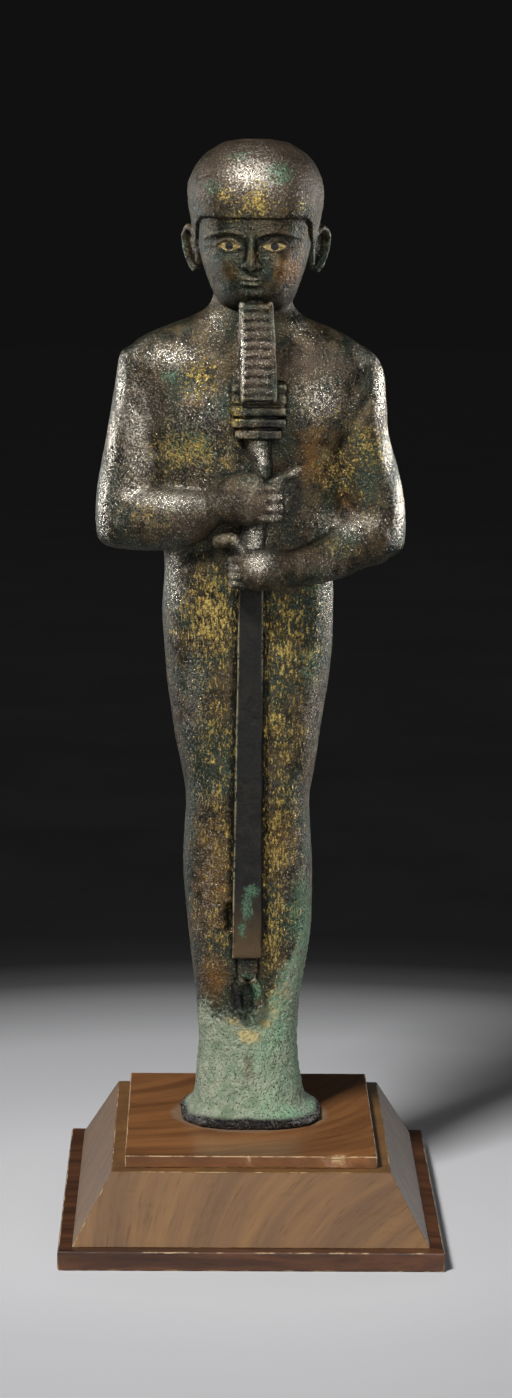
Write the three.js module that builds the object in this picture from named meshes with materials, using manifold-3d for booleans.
import * as THREE from "three";
import { mergeVertices } from "three/addons/utils/BufferGeometryUtils.js";
import Module from "manifold-3d";

// A cast bronze statuette of a shrouded god in a skullcap, with a straight false beard and a long
// sceptre held in both fists, standing on a plinth of three boards.
// Millimetres, +Z up. The figure faces -Y, and the origin is under the middle of the plinth.

const wasm = await Module();
wasm.setup();

// Driving dimensions of the figure
const figureHeight = 269;
const headTurn = -4; // degrees about the vertical, towards the figure's right

// Driving dimensions of the plinth
const plateMarginSide = 14.2; // bare wood beside the foot's flange
const plateMarginEnd = 25.4; // bare wood before and behind it
const plateThickness = 3.4;
const blockLedge = 3.5; // bare margin of the sloped block round the plate
const blockHeight = 18;
const blockRun = 10.3; // how far each side of the block slopes out
const slabLedge = 3.7; // bare margin of the slab round the block
const slabThickness = 5.3;

// All that follows about the figure is in thousandths of its height.
const unit = figureHeight / 1000;

// Sides and ring spacing of the moulded forms
const fineness = { bodySides: 26, bodyGap: 30, headSides: 30, headGap: 7.5, capRows: 10, armSides: 14 };

// A limb's rounded end: how far it reaches as a share of the limb's half thickness, and how square
// it is, where 1 is a ball's
const dome = { reach: 0.7, power: 0.77 };

// Sections of the shrouded body and neck, from the sole up:
// height, middle across, half width, front, back, squareness
const bodySections = [
  [0, 1.0, 71.5, 68.5, 67, 2.7],
  [3.4, 1.1, 73.2, 70.5, 69, 2.7],
  [8.6, 1.1, 72.6, 70.0, 68, 2.7],
  [12.2, 0.8, 65.5, 65.5, 61, 2.6],
  [19, -0.2, 58.2, 61.5, 55, 2.5],
  [30, -0.8, 55.4, 56.0, 50, 2.4],
  [44, -1.8, 53.4, 49.5, 45, 2.4],
  [62, -2.7, 51.6, 42.5, 41.5, 2.4],
  [84, -2.4, 50.3, 37.5, 40, 2.4],
  [120, -2.7, 52.8, 35.6, 42, 2.4],
  [162, -2.2, 58.2, 36.6, 47, 2.4],
  [205, -2.0, 63.6, 39, 50.5, 2.4],
  [262, -3.8, 66.3, 40.5, 51.5, 2.4],
  [300, -4.6, 64.6, 42.5, 47, 2.4],
  [335, -4.5, 63.3, 44.5, 43, 2.4],
  [365, -4.8, 67.6, 45, 43.5, 2.4],
  [400, -5.3, 73.6, 45.8, 48, 2.4],
  [445, -5.3, 80.8, 46.6, 55.5, 2.4],
  [490, -5.2, 85.2, 46.4, 61.5, 2.3],
  [530, -5.5, 86.7, 45.6, 61.5, 2.3],
  [565, -5.2, 85.6, 44.6, 54, 2.3],
  [590, -4.6, 87, 44.4, 48, 2.3],
  [614, -3.8, 94.5, 44.8, 46, 2.3],
  [650, -3.8, 97, 46.2, 45, 2.3],
  [695, -5.5, 102, 48.0, 47.5, 2.3],
  [735, -6.0, 111, 46.5, 51, 2.5],
  [765, -6.4, 119, 42, 50, 2.8],
  [785, -8.0, 120, 37, 45.5, 2.8],
  [799, -10.2, 110, 33, 41, 2.5],
  [811, -9.8, 88, 31.6, 38, 2.2],
  [822, -7.5, 61, 31, 36, 2.0],
  [833, -5.2, 43.5, 30.6, 34.8, 2.0],
  [850, -3.0, 39.2, 30.4, 34, 2.0],
  [876, -2.0, 38.6, 30.4, 33.6, 2.0],
];

// Swellings and hollows of the body, the same on both sides of the middle:
// across, height, half width, half height, how far out
const chestForms = [
  [40, 722, 34, 26, 6],
  [0, 722, 12, 44, -3],
  [0, 300, 22, 190, -4],
  [34, 338, 18, 26, 3],
];
const backForms = [
  [42, 726, 26, 38, 4],
  [0, 660, 12, 110, -4],
  [36, 508, 30, 36, 5],
  [0, 400, 14, 150, -6],
  [34, 245, 20, 60, 3],
];

// Sections of the head from inside the neck to the crown, in the same columns
const headSections = [
  [826, 0, 33, 24, 32, 2.0],
  [834, 0, 36, 33, 35, 2.0],
  [840, 0, 38, 47, 38, 2.1],
  [848, 0, 41.5, 54.6, 42, 2.2],
  [858, 0, 45.6, 57.5, 49, 2.2],
  [872, 0, 50.4, 59.4, 57, 2.2],
  [888, 0, 54.8, 60.6, 64, 2.2],
  [905, 0, 58, 61.4, 68.6, 2.2],
  [922, 0, 61.8, 62.6, 70.6, 2.2],
  [942, 0, 65, 64.4, 71.2, 2.2],
  [957, 0, 64, 63, 69.6, 2.2],
  [970, 0, 59.4, 58, 64.4, 2.2],
  [982, 0, 51, 49.5, 55, 2.1],
  [990, 0, 42, 40.5, 45, 2.1],
  [995, 0, 31, 30, 33, 2.0],
  [997.4, 0, 15, 14.5, 16, 2.0],
];
const headMiddle = [-1.2, -1.5]; // across and to the front of the body's axis

// The skullcap is a skin over the head. Its edge runs level over the brow, dips to the ears and
// goes down to the nape.
const cap = { thickness: 2.6, brow: 925, ear: 900, nape: 862 };

// Face: heights as shares of the way from chin to cap edge, after the classical canon
const chin = 843;
const faceShare = (share) => chin + share * (cap.brow - chin);
const face = {
  brow: faceShare(0.8),
  eye: faceShare(0.66),
  noseBase: faceShare(0.37),
  mouth: faceShare(0.235),
  eyeApart: 22.5,
};

// Soft forms of the face: across, height, half width, half height, how far out
const faceForms = [
  [face.eyeApart, face.eye, 15, 9, -5],
  [31, face.noseBase + 4, 15, 13, 2],
  [0, face.mouth, 17, 8, 3],
  [0, faceShare(0.07), 13, 6.5, 4],
  [0, face.eye + 1, 8, 12, 2.5],
];

// Lines and lips laid on the face: across, height, half height, and how far they stand out
const upperLid = [
  [10, face.eye - 1.5, 0.8, 0.8],
  [16, face.eye + 3.2, 1.3, 1.5],
  [23, face.eye + 4.8, 1.4, 1.7],
  [30, face.eye + 3.2, 1.3, 1.5],
  [37, face.eye, 1.2, 1.3],
  [47, face.eye - 1, 1.2, 1.2],
];
const lowerLid = [
  [10, face.eye - 1.5, 0.8, 0.8],
  [17, face.eye - 4, 0.9, 1.1],
  [24, face.eye - 4.8, 0.9, 1.2],
  [31, face.eye - 3.2, 0.9, 1.1],
  [37, face.eye, 1.0, 1.2],
];
const browLine = [
  [7, face.brow - 1.5, 1.6, 1.2],
  [16, face.brow + 1.5, 2, 2.2],
  [26, face.brow + 2, 2, 2.4],
  [37, face.brow - 0.5, 1.8, 2],
  [49, face.brow - 5, 1.3, 1.4],
];
const eyeball = { half: 12, halfHeight: 4.6, out: 3.4 };
const lips = { half: 15, upper: 2.8, lower: 3.0, out: 3.6 };

// The nose, from the brow down: height, half width, how far it stands out
const nose = [
  [face.eye + 8, 3.4, 3.5],
  [face.eye + 1, 4.2, 6.5],
  [face.eye - 9, 5, 9],
  [face.noseBase + 5, 7.4, 12],
  [face.noseBase, 8.6, 11],
];

// Ears: half thickness, depth and height, how they splay and lean out, how deep the front edge is
// set into the head, and how much of them the dish inside the rim takes
const ear = { back: 6, height: 891, half: [4.8, 15.5, 25], splay: 40, lean: 11, sunk: 3.2, dish: 0.64 };

// False beard: a straight board with a rim down each side and ribs across, and the web that joins
// it to the throat
const beard = {
  top: { across: -0.7, halfWidth: 17, front: -70, height: 841 },
  foot: { across: 2.4, halfWidth: 18.8, front: -85.5, height: 746 },
  depth: 17,
  rim: 4.2,
  sunk: 3,
  ribs: 11,
};
const web = { halfWidth: 6, back: -26 };

// Arms: path points (across, front, height) with half depth and half thickness
const upperArms = {
  right: [
    [-105, 4, 775, 25, 30],
    [-111, 4, 748, 29.5, 31],
    [-119.5, 3, 700, 31, 30.5],
    [-125.5, 2, 656, 30.5, 32],
    [-129.5, 0, 622, 30, 31.5],
    [-130.5, -1, 608, 29, 29.5],
  ],
  left: [
    [93, 4, 775, 25, 30],
    [99, 4, 746, 29.5, 31],
    [107, 3, 700, 31, 31],
    [115, 2, 658, 30.5, 32.5],
    [121, 0, 622, 30, 32],
    [122.5, -1, 601, 29, 30.5],
  ],
};
const foreArms = {
  right: [
    [-135, -2, 619, 25, 28],
    [-123, -8, 620, 29, 32.2],
    [-106, -21, 621, 28, 32],
    [-86, -34, 622.5, 26, 31],
    [-66, -47, 626, 22, 27.5],
    [-47, -60, 635, 17.5, 20.5],
    [-34, -68, 641, 15, 17.5],
  ],
  left: [
    [127, -3, 614, 25, 27],
    [117, -9, 609, 28, 29],
    [102, -19, 600, 26, 26.5],
    [84, -32, 588, 22.5, 23.5],
    [64, -47, 580.5, 19, 20.5],
    [46, -59, 578, 17, 19],
    [34, -66, 577.5, 15, 17],
  ],
};

// Fists: the back of the hand, the fingers curled round the sceptre one below the other, and the
// thumb laid over it
const fists = {
  right: {
    palm: [
      [-44, -63, 638, 14, 17.5],
      [-32, -71, 643.5, 15.5, 21.5],
      [-17, -79, 647.5, 16.5, 25],
      [-2, -84, 648, 15.5, 26],
      [8, -86, 646.5, 12, 22],
    ],
    fingers: { first: 661, last: 630, count: 4, radius: 5.4 },
    curl: [
      [3, -91],
      [17, -89],
      [23.5, -79],
      [21, -66],
      [12, -58],
    ],
    thumb: [
      [-8, -79, 663, 7],
      [9, -83, 671, 6.2],
      [24, -83, 676, 5.4],
      [36, -81, 680, 4.6],
    ],
  },
  left: {
    palm: [
      [44, -59, 578, 14, 16.5],
      [31, -68, 577.5, 15, 18.5],
      [16, -78, 578, 16, 20.5],
      [1, -84, 577.5, 15.5, 20],
      [-8, -86, 576.5, 12, 17.5],
    ],
    fingers: { first: 588.5, last: 564.5, count: 4, radius: 4.5 },
    curl: [
      [-5, -90],
      [-17, -89],
      [-22.5, -79],
      [-20, -66],
      [-12, -58],
    ],
    thumb: [
      [8, -79, 594, 7.2],
      [-9, -83, 603, 6.6],
      [-25, -84, 608, 6],
      [-38, -82, 607.5, 5],
    ],
  },
};

// Sceptre: a top with cross bars on a flaring neck, a round shaft through the fists, and a flat bar
// from there to the forked foot
const crossBars = {
  count: 5,
  lowest: 712,
  highest: 757.5,
  half: 27.2,
  lowestHalf: 23.2,
  halfHeight: 3.2,
  front: -76,
  back: -42,
};
const crossCore = { half: 19, front: -70 };
const shaft = [
  [2.8, -58, 757, 14, 13],
  [2.8, -58, 709, 15, 15],
  [4.5, -61, 692, 14, 12],
  [7, -66, 674, 12, 10.5],
  [2, -70, 645, 12, 12],
  [-2, -69, 612, 12, 13],
  [-3, -64, 575, 12, 12],
];
const bar = {
  top: { height: 574, across: -3.2, halfWidth: 12.2, front: -58 },
  foot: { height: 174.5, across: -4.4, halfWidth: 15.3, front: -48.6 },
  back: -28,
};
const stub = { top: 178, foot: 147, halfWidth: 10.5, front: -43, back: -25 };
const fork = { middle: -3.4, height: 133, half: 9.2, halfHeight: 18, front: -38.5, prong: 5.8, gap: 14 };

// A flaw in the casting beside the bar's lower end
const flaw = { across: -23.5, front: -38, height: 215, half: [3.8, 9, 13] };

// A closed three.js geometry as a solid that can be joined and cut
function solid(geometry) {
  const bare = geometry.clone();
  bare.deleteAttribute("normal");
  bare.deleteAttribute("uv");
  const merged = mergeVertices(bare, 1e-4);
  return new wasm.Manifold(
    new wasm.Mesh({
      numProp: 3,
      vertProperties: new Float32Array(merged.getAttribute("position").array),
      triVerts: new Uint32Array(merged.index.array),
    }),
  );
}

// A joined or cut solid as a three.js geometry
function geometryOf(made) {
  const mesh = made.getMesh();
  const geometry = new THREE.BufferGeometry();
  geometry.setAttribute("position", new THREE.BufferAttribute(mesh.vertProperties, 3));
  geometry.setIndex(new THREE.BufferAttribute(mesh.triVerts, 1));
  geometry.computeVertexNormals();
  return geometry;
}

const joined = (solids) => solids.reduce((whole, piece) => whole.add(piece));

// A row of a table at any value of its first column, on a smooth curve through the rows
function rowAt(table, value) {
  const found = table.findIndex((row) => row[0] >= value);
  const i = found < 0 ? table.length - 1 : Math.max(found, 1);
  const [a, b] = [table[i - 1], table[i]];
  const before = table[Math.max(i - 2, 0)];
  const after = table[Math.min(i + 1, table.length - 1)];
  const span = b[0] - a[0];
  const t = THREE.MathUtils.clamp((value - a[0]) / span, 0, 1);
  return a.map((from, column) => {
    const slopeA = ((b[column] - before[column]) / (b[0] - before[0])) * span;
    const slopeB = ((after[column] - from) / (after[0] - a[0])) * span;
    const rise = b[column] - from;
    return from + t * (slopeA + t * (3 * rise - 2 * slopeA - slopeB + t * (slopeA + slopeB - 2 * rise)));
  });
}

// Heights of the rings that a stack of sections gets, about a gap apart
function ringHeights(table, gap) {
  const heights = table.slice(1).flatMap(([end], i) => {
    const start = table[i][0];
    const steps = Math.max(1, Math.round((end - start) / gap));
    return Array.from({ length: steps }, (_, k) => THREE.MathUtils.lerp(start, end, k / steps));
  });
  return [...heights, table[table.length - 1][0]];
}

// A point on a section's outline: an ellipse squared off a little, with its own front and back
function outlinePoint(section, angle, grow = 0) {
  const [height, middle, halfWidth, front, back, squareness] = section;
  const power = 2 / squareness;
  const [c, s] = [Math.cos(angle), Math.sin(angle)];
  const x = middle + (halfWidth + grow) * Math.sign(c) * Math.abs(c) ** power;
  const y = ((s < 0 ? front : back) + grow) * Math.sign(s) * Math.abs(s) ** power;
  return new THREE.Vector3(x, y, height);
}

// The middle of a section
const middlePoint = (section) => new THREE.Vector3(section[1], (section[4] - section[3]) / 2, section[0]);

// How far a set of soft forms stands out at a place
function reliefAt(forms, x, height) {
  return forms.reduce((sum, [middle, level, halfWidth, halfHeight, out]) => {
    const d = ((Math.abs(x) - middle) / halfWidth) ** 2 + ((height - level) / halfHeight) ** 2;
    return sum + out * Math.exp(-d);
  }, 0);
}

// A unit cylinder along Z, each of whose vertices is moved to where place says, from its row, its
// angle about the axis, and whether it is on the wall or the middle of an end
function moulded(sides, rows, place) {
  const shape = new THREE.CylinderGeometry(1, 1, 1, sides, rows - 1);
  const at = shape.getAttribute("position");
  for (let i = 0; i < at.count; i++) {
    const row = Math.round((at.getY(i) + 0.5) * (rows - 1));
    const onWall = Math.hypot(at.getX(i), at.getZ(i)) > 0.5;
    const p = place(row, Math.atan2(-at.getZ(i), at.getX(i)), onWall).multiplyScalar(unit);
    at.setXYZ(i, p.x, p.y, p.z);
  }
  return solid(shape);
}

const upright = new THREE.Vector3(0, 0, 1);
const across = new THREE.Vector3(1, 0, 0);

// A limb along path points (across, front, height, half depth, half thickness), its sections square
// to the path and their half thickness along the given direction. Each end is drawn in to a dome by
// some more rings, or left flat.
function limb(path, sides, along, domes = [0, 0]) {
  const last = path.length - 1;
  const points = path.map(([x, y, z]) => new THREE.Vector3(x, y, z));
  const stations = points.map((point, i) => {
    const tangent = points[Math.min(i + 1, last)].clone().sub(points[Math.max(i - 1, 0)]).normalize();
    const side = new THREE.Vector3().crossVectors(along, tangent).normalize();
    const thick = new THREE.Vector3().crossVectors(tangent, side);
    return { point, tangent, side, thick, halves: [path[i][3], path[i][4] ?? path[i][3]], scale: 1 };
  });
  const beyond = (from, share) => {
    const reach = dome.reach * Math.min(...from.halves) * share;
    return from.point.clone().addScaledVector(from.tangent, reach);
  };
  const domeRings = (from, rings, sign) =>
    Array.from({ length: rings }, (_, k) => {
      const turn = ((k + 1) / (rings + 1)) * (Math.PI / 2);
      const point = beyond(from, sign * Math.sin(turn) ** dome.power);
      return { ...from, point, scale: Math.cos(turn) ** dome.power };
    });
  const [first, end] = [stations[0], stations[last]];
  const all = [...domeRings(first, domes[0], -1).reverse(), ...stations, ...domeRings(end, domes[1], 1)];
  return moulded(sides, all.length, (row, angle, onWall) => {
    if (!onWall) return row === 0 ? beyond(first, domes[0] ? -1 : 0) : beyond(end, domes[1] ? 1 : 0);
    const { point, side, thick, halves, scale } = all[row];
    return point
      .clone()
      .addScaledVector(side, scale * halves[0] * Math.cos(angle))
      .addScaledVector(thick, scale * halves[1] * Math.sin(angle));
  });
}

// A box between two corners
function boxBetween(low, high) {
  const size = high.map((value, i) => (value - low[i]) * unit);
  const middle = high.map((value, i) => ((value + low[i]) / 2) * unit);
  return solid(new THREE.BoxGeometry(...size).translate(...middle));
}

// A ball or lens by its three half sizes, turned by a function and set at a place
function lens(halves, place, turn = (geometry) => geometry) {
  const shape = new THREE.SphereGeometry(1, 12, 7);
  shape.scale(...halves.map((value) => value * unit));
  return solid(turn(shape).translate(...place.map((value) => value * unit)));
}

// A board whose foot and top have their own middle, half width, front and height
function taperedBoard(foot, top, back) {
  return moulded(4, 2, (row, angle, onWall) => {
    const end = row === 0 ? foot : top;
    if (!onWall) return new THREE.Vector3(end.across, (end.front + back) / 2, end.height);
    const turned = angle + Math.PI / 4;
    const x = end.across + end.halfWidth * Math.sign(Math.cos(turned));
    return new THREE.Vector3(x, Math.sin(turned) < 0 ? end.front : back, end.height);
  });
}

function makeBody() {
  const heights = ringHeights(bodySections, fineness.bodyGap);
  return moulded(fineness.bodySides, heights.length, (row, angle, onWall) => {
    const section = rowAt(bodySections, heights[row]);
    if (!onWall) return middlePoint(section);
    const point = outlinePoint(section, angle);
    const forms = point.y < 0 ? chestForms : backForms;
    const facing = Math.sin(angle);
    point.y += facing * reliefAt(forms, point.x - section[1], point.z);
    return point;
  });
}

// How far forward the face reaches at a place
function faceFront(x, height) {
  const [, , halfWidth, front, , squareness] = rowAt(headSections, height);
  const share = Math.min(1, Math.abs(x) / halfWidth);
  return -front * (1 - share ** squareness) ** (1 / squareness) - reliefAt(faceForms, x, height);
}

function makeSkull() {
  const heights = ringHeights(headSections, fineness.headGap).filter((height) => height < cap.brow + 12);
  return moulded(fineness.headSides, heights.length, (row, angle, onWall) => {
    const section = rowAt(headSections, heights[row]);
    if (!onWall) return middlePoint(section);
    const crowded = angle - 0.5 * Math.cos(angle);
    const point = outlinePoint(section, crowded);
    if (point.y < 0) point.y = faceFront(point.x, point.z);
    return point;
  });
}

// A line of some thickness laid on the face, on either side of the middle or right across
function faceLine(path, side, sides = 4) {
  const points = path.map(([x, height, half, out]) => [side * x, faceFront(x, height), height, out, half]);
  return limb(points, sides, upright);
}

function makeEye(side) {
  const steps = [-0.96, -0.6, 0, 0.6, 0.96];
  const path = steps.map((t) => [
    side * (face.eyeApart + eyeball.half * t),
    faceFront(face.eyeApart + eyeball.half * t, face.eye) + 0.5,
    face.eye - 0.3,
    eyeball.out * Math.sqrt(1 - t * t),
    eyeball.halfHeight * (1 - t * t),
  ]);
  return limb(path, 6, upright);
}

function makeLip(height, half) {
  const steps = [-1, -0.55, 0, 0.55, 1];
  return faceLine(
    steps.map((t) => [lips.half * t, height, half * (1 - 0.72 * t * t), lips.out * (1 - 0.75 * t * t)]),
    1,
    6,
  );
}

function makeNose() {
  const path = nose.map(([height, half, out]) => {
    const depth = out / 2 + 3;
    return [0, faceFront(0, height) - out + depth, height, depth, half];
  });
  return limb(path, 10, across, [0, 1]);
}

function makeFace() {
  const sides = [-1, 1].flatMap((side) => [
    makeEye(side),
    faceLine(upperLid, side),
    faceLine(lowerLid, side),
    faceLine(browLine, side),
  ]);
  const mouth = [
    makeLip(face.mouth + lips.upper * 0.9, lips.upper),
    makeLip(face.mouth - lips.lower * 0.9, lips.lower),
  ];
  return joined([...sides, ...mouth, makeNose()]);
}

function makeCap() {
  const { headSides, capRows } = fineness;
  const crown = headSections[headSections.length - 1][0];
  const edgeAt = (angle) => {
    const front = (1 - Math.sin(angle)) / 2;
    const level = THREE.MathUtils.smoothstep(front, 0.6, 0.8);
    const dip = THREE.MathUtils.smoothstep(front, 0, 0.5);
    const low = THREE.MathUtils.lerp(cap.nape, cap.ear, dip);
    return THREE.MathUtils.lerp(low, cap.brow, level);
  };
  return moulded(headSides, capRows, (row, angle, onWall) => {
    const share = Math.sin((row / (capRows - 1)) * (Math.PI / 2));
    if (!onWall) {
      const end = row ? crown : cap.brow;
      return middlePoint(rowAt(headSections, end)).setZ(end + (row ? cap.thickness : 0));
    }
    const height = THREE.MathUtils.lerp(edgeAt(angle), crown, share);
    const point = outlinePoint(rowAt(headSections, height), angle, cap.thickness);
    return point.setZ(height + cap.thickness * share ** 8);
  });
}

// An ear is a lens that stands out from the head, dished inside its rim
function makeEar(side) {
  const turn = (geometry) =>
    geometry
      .rotateY(THREE.MathUtils.degToRad(side * ear.lean))
      .rotateZ(THREE.MathUtils.degToRad(-side * ear.splay));
  const [thick, deep, high] = ear.half;
  const headHalf = rowAt(headSections, ear.height)[2];
  const out = headHalf + deep * Math.sin(THREE.MathUtils.degToRad(ear.splay)) - ear.sunk;
  const place = [side * out, ear.back, ear.height];
  const dish = (geometry) => turn(geometry.translate(side * thick * 0.9 * unit, 0, high * 0.08 * unit));
  const shell = lens(ear.half, place, turn);
  return shell.subtract(lens([thick * 0.85, deep * ear.dish, high * ear.dish], place, dish));
}

function makeBeard() {
  const { top, foot, depth, rim, sunk, ribs } = beard;
  const back = Math.max(top.front, foot.front) + depth;
  const board = taperedBoard(foot, top, back);
  const gap = (top.height - foot.height) / (ribs + 0.5);
  const grooves = Array.from({ length: ribs }, (_, i) => {
    const share = (i + 0.75) / (ribs + 0.5);
    const half = THREE.MathUtils.lerp(foot.halfWidth, top.halfWidth, share) - rim;
    const place = [
      THREE.MathUtils.lerp(foot.across, top.across, share),
      THREE.MathUtils.lerp(foot.front, top.front, share),
      THREE.MathUtils.lerp(foot.height, top.height, share),
    ];
    const groove = new THREE.CylinderGeometry(gap * 0.4, gap * 0.4, 2 * half, 8);
    groove.rotateZ(Math.PI / 2).scale(unit, (sunk / (gap * 0.4)) * unit, unit);
    return solid(groove.translate(...place.map((value) => value * unit)));
  });
  const webEnd = (end) => ({ ...end, halfWidth: web.halfWidth, front: back - 2 });
  return board.subtract(joined(grooves)).add(taperedBoard(webEnd(foot), webEnd(top), web.back));
}

function makeFist({ palm, fingers, curl, thumb }) {
  const heights = Array.from({ length: fingers.count }, (_, i) =>
    THREE.MathUtils.lerp(fingers.first, fingers.last, i / (fingers.count - 1)),
  );
  const curled = heights.map((height) =>
    limb(
      curl.map(([x, y]) => [x, y, height, fingers.radius]),
      6,
      upright,
    ),
  );
  return joined([limb(palm, 10, upright, [0, 1]), ...curled, limb(thumb, 6, upright, [0, 1])]);
}

function makeSceptre() {
  const middle = shaft[0][0];
  const { count, lowest, highest, half, lowestHalf, halfHeight, front, back } = crossBars;
  const bars = Array.from({ length: count }, (_, i) => {
    const height = THREE.MathUtils.lerp(lowest, highest, i / (count - 1));
    const wide = i === 0 ? lowestHalf : half;
    const low = [middle - wide, front, height - halfHeight];
    return boxBetween(low, [middle + wide, back, height + halfHeight]);
  });
  const core = boxBetween(
    [middle - crossCore.half, crossCore.front, lowest],
    [middle + crossCore.half, back, highest],
  );
  const low = boxBetween(
    [fork.middle - stub.halfWidth, stub.front, stub.foot],
    [fork.middle + stub.halfWidth, stub.back, stub.top],
  );
  return joined([...bars, core, limb(shaft, 10, across), taperedBoard(bar.foot, bar.top, bar.back), low]);
}

// One prong of the forked foot, a crescent from the stub down to the open end
function makeProng(side) {
  const steps = 9;
  const path = Array.from({ length: steps }, (_, i) => {
    const turn = THREE.MathUtils.degToRad(THREE.MathUtils.lerp(70, fork.gap - 90, i / (steps - 1)));
    const x = fork.middle + side * fork.half * Math.cos(turn);
    return [x, fork.front, fork.height + fork.halfHeight * Math.sin(turn), fork.prong];
  });
  return limb(path, 8, new THREE.Vector3(0, -side, 0), [0, 1]);
}

function makeFigure() {
  const head = joined([makeSkull(), makeFace(), makeCap(), makeEar(-1), makeEar(1)])
    .rotate([0, 0, headTurn])
    .translate([headMiddle[0] * unit, headMiddle[1] * unit, 0]);
  const arms = Object.keys(foreArms).flatMap((side) => [
    limb(upperArms[side], fineness.armSides, across, [2, 2]),
    limb(foreArms[side], fineness.armSides - 2, upright, [2, 0]),
    makeFist(fists[side]),
  ]);
  const whole = joined([makeBody(), head, makeBeard(), ...arms, makeSceptre(), makeProng(-1), makeProng(1)]);
  return whole.subtract(lens(flaw.half, [flaw.across, flaw.front, flaw.height]));
}

// The foot's flange, which the plinth is laid out round
const flangeRing = bodySections.reduce((wide, row) => (row[3] > wide[3] ? row : wide));
const flange = { width: 2 * flangeRing[2] * unit, depth: (flangeRing[3] + flangeRing[4]) * unit };

// Boards of the plinth, each by its width and depth
const wider = ({ width, depth }, margin) => ({ width: width + 2 * margin, depth: depth + 2 * margin });
const plate = { width: flange.width + 2 * plateMarginSide, depth: flange.depth + 2 * plateMarginEnd };
const blockTop = wider(plate, blockLedge);
const blockFoot = wider(blockTop, blockRun);
const slab = wider(blockFoot, slabLedge);

function makeBoard({ width, depth }, thickness) {
  return new THREE.BoxGeometry(width, depth, thickness).translate(0, 0, thickness / 2);
}

function makeBlock(foot, top, height) {
  const shape = new THREE.BoxGeometry(1, 1, height).translate(0, 0, height / 2);
  const at = shape.getAttribute("position");
  for (let i = 0; i < at.count; i++) {
    const size = at.getZ(i) > height / 2 ? top : foot;
    at.setXYZ(i, at.getX(i) * size.width, at.getY(i) * size.depth, at.getZ(i));
  }
  shape.computeVertexNormals();
  return shape;
}

const bronze = { color: 0x4a4034, roughness: 0.5, metalness: 0.85 };
const walnut = { color: 0x6b4226, roughness: 0.45, metalness: 0 };

function named(name, geometry, look, height) {
  const mesh = new THREE.Mesh(geometry, new THREE.MeshStandardMaterial(look));
  mesh.name = name;
  mesh.position.z = height;
  return mesh;
}

const blockBase = slabThickness;
const plateBase = blockBase + blockHeight;
const figureBase = plateBase + plateThickness;

const statuette = new THREE.Group();
statuette.add(
  named("plinth_slab", makeBoard(slab, slabThickness), walnut, 0),
  named("plinth_block", makeBlock(blockFoot, blockTop, blockHeight), walnut, blockBase),
  named("plinth_plate", makeBoard(plate, plateThickness), walnut, plateBase),
  named("figure", geometryOf(makeFigure()), bronze, figureBase),
);

export default statuette;
